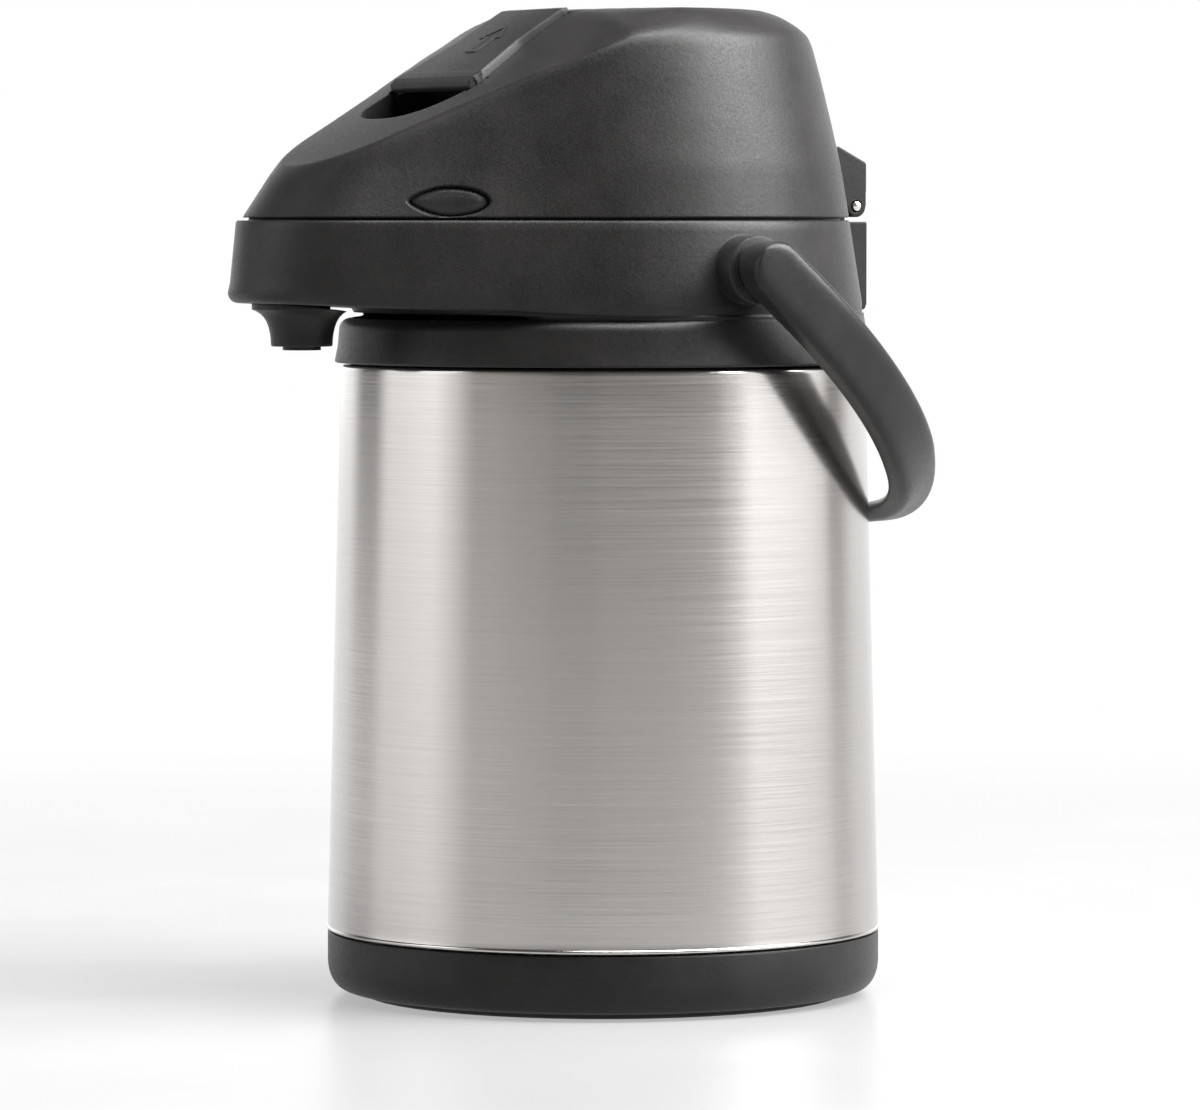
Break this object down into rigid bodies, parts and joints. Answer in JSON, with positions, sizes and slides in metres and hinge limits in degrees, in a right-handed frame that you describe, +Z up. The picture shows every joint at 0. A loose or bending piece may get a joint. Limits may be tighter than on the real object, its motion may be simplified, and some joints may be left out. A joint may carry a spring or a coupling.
{
  "type": "airpot",
  "caption": "Insulated push-plate coffee airpot with a brushed metal body, hinged lid with latch lever, swinging bail handle, front spout and swivel base.",
  "frame": {"origin": "centre of the flat underside of the foot pad, on the vacuum body's axis", "axes": "+Z up along the body, -Y towards the spout, X along the handle's pivots"},
  "size_m": [0.194, 0.216, 0.2939],
  "materials": {
    "black_plastic": "fine textured black",
    "handle_plastic": "satin black",
    "button_plastic": "satin black",
    "pale_plastic": "natural moulded",
    "brushed_body": "fine horizontal brushing",
    "liner_steel": "bright drawn steel",
    "screw_steel": "zinc plated",
    "pin_nickel": "polished nickel",
    "foot_rubber": "matt non-slip",
    "seal_rubber": "silicone"
  },
  "bodies": {
    "base": {"foot_pad": "foot_rubber", "swivel_base": "black_plastic", "swivel_bearing": "pale_plastic", "swivel_screw": "screw_steel"},
    "pot": {"base_ring": "black_plastic", "outer_shell": "brushed_body", "shell_bottom": "liner_steel", "inner_liner": "liner_steel", "head_housing": "black_plastic", "neck_nut": "black_plastic", "mouth_seal": "seal_rubber", "filling_insert": "black_plastic", "dip_tube": "liner_steel", "outlet_elbow": "pale_plastic", "spout_nozzle": "black_plastic", "latch_catch": "black_plastic", "pivot_pin_left": "screw_steel", "pivot_pin_right": "screw_steel", "pivot_washer_left": "pale_plastic", "pivot_washer_right": "pale_plastic"},
    "lid": {"lid_cover": "black_plastic", "lid_base": "black_plastic", "lid_screw_1": "screw_steel", "lid_screw_2": "screw_steel", "lid_screw_3": "screw_steel", "lid_screw_4": "screw_steel", "pump_cup": "pale_plastic", "lid_seal": "seal_rubber", "air_valve": "seal_rubber", "bellows": "pale_plastic", "bellows_spring": "screw_steel", "latch_pin": "screw_steel", "latch_spring": "screw_steel", "hinge_pin": "pin_nickel"},
    "pump": {"push_plate": "black_plastic", "bellows_cap": "pale_plastic"},
    "latch": {"latch_lever": "black_plastic"},
    "button_right": {"side_button_right": "button_plastic"},
    "button_left": {"side_button_left": "button_plastic"},
    "handle": {"bail_handle": "handle_plastic"},
    "valve_ball": {"check_ball": "liner_steel"}
  },
  "joints": [
    {"name": "swivel", "type": "hinge", "parent": "base", "child": "pot", "pos_m": [0, 0, 0], "axis": [0, 0, 1], "continuous": true},
    {"name": "lid_hinge", "type": "hinge", "parent": "pot", "child": "lid", "pos_m": [0, 0.0762, 0.2355], "axis": [-1, 0, 0], "range_deg": [0, 95]},
    {"name": "pump_press", "type": "slide", "parent": "lid", "child": "pump", "axis": [0, 0, -1], "range_m": [0, 0.022], "stiffness_N_per_m": 600, "springref_m": -0.005, "deforming": ["bellows", "bellows_spring"]},
    {"name": "latch_lift", "type": "hinge", "parent": "lid", "child": "latch", "pos_m": [0, -0.0254, 0.2878], "axis": [-1, 0, 0], "range_deg": [0, 10], "stiffness_Nm_per_rad": 0.15, "springref_deg": -17.19},
    {"name": "button_right_press", "type": "slide", "parent": "lid", "child": "button_right", "axis": [-0.8648, 0.4759, -0.1599], "range_m": [0, 0.0025], "stiffness_N_per_m": 300, "springref_m": -0.002},
    {"name": "button_left_press", "type": "slide", "parent": "lid", "child": "button_left", "axis": [0.8648, 0.4759, -0.1599], "range_m": [0, 0.0025], "stiffness_N_per_m": 300, "springref_m": -0.002},
    {"name": "handle_swing", "type": "hinge", "parent": "pot", "child": "handle", "pos_m": [0, 0.0054, 0.217], "axis": [1, 0, 0], "range_deg": [0, 195]},
    {"name": "ball_lift", "type": "slide", "parent": "pot", "child": "valve_ball", "axis": [0, 0, 1], "range_m": [0, 0.003]}
  ]
}
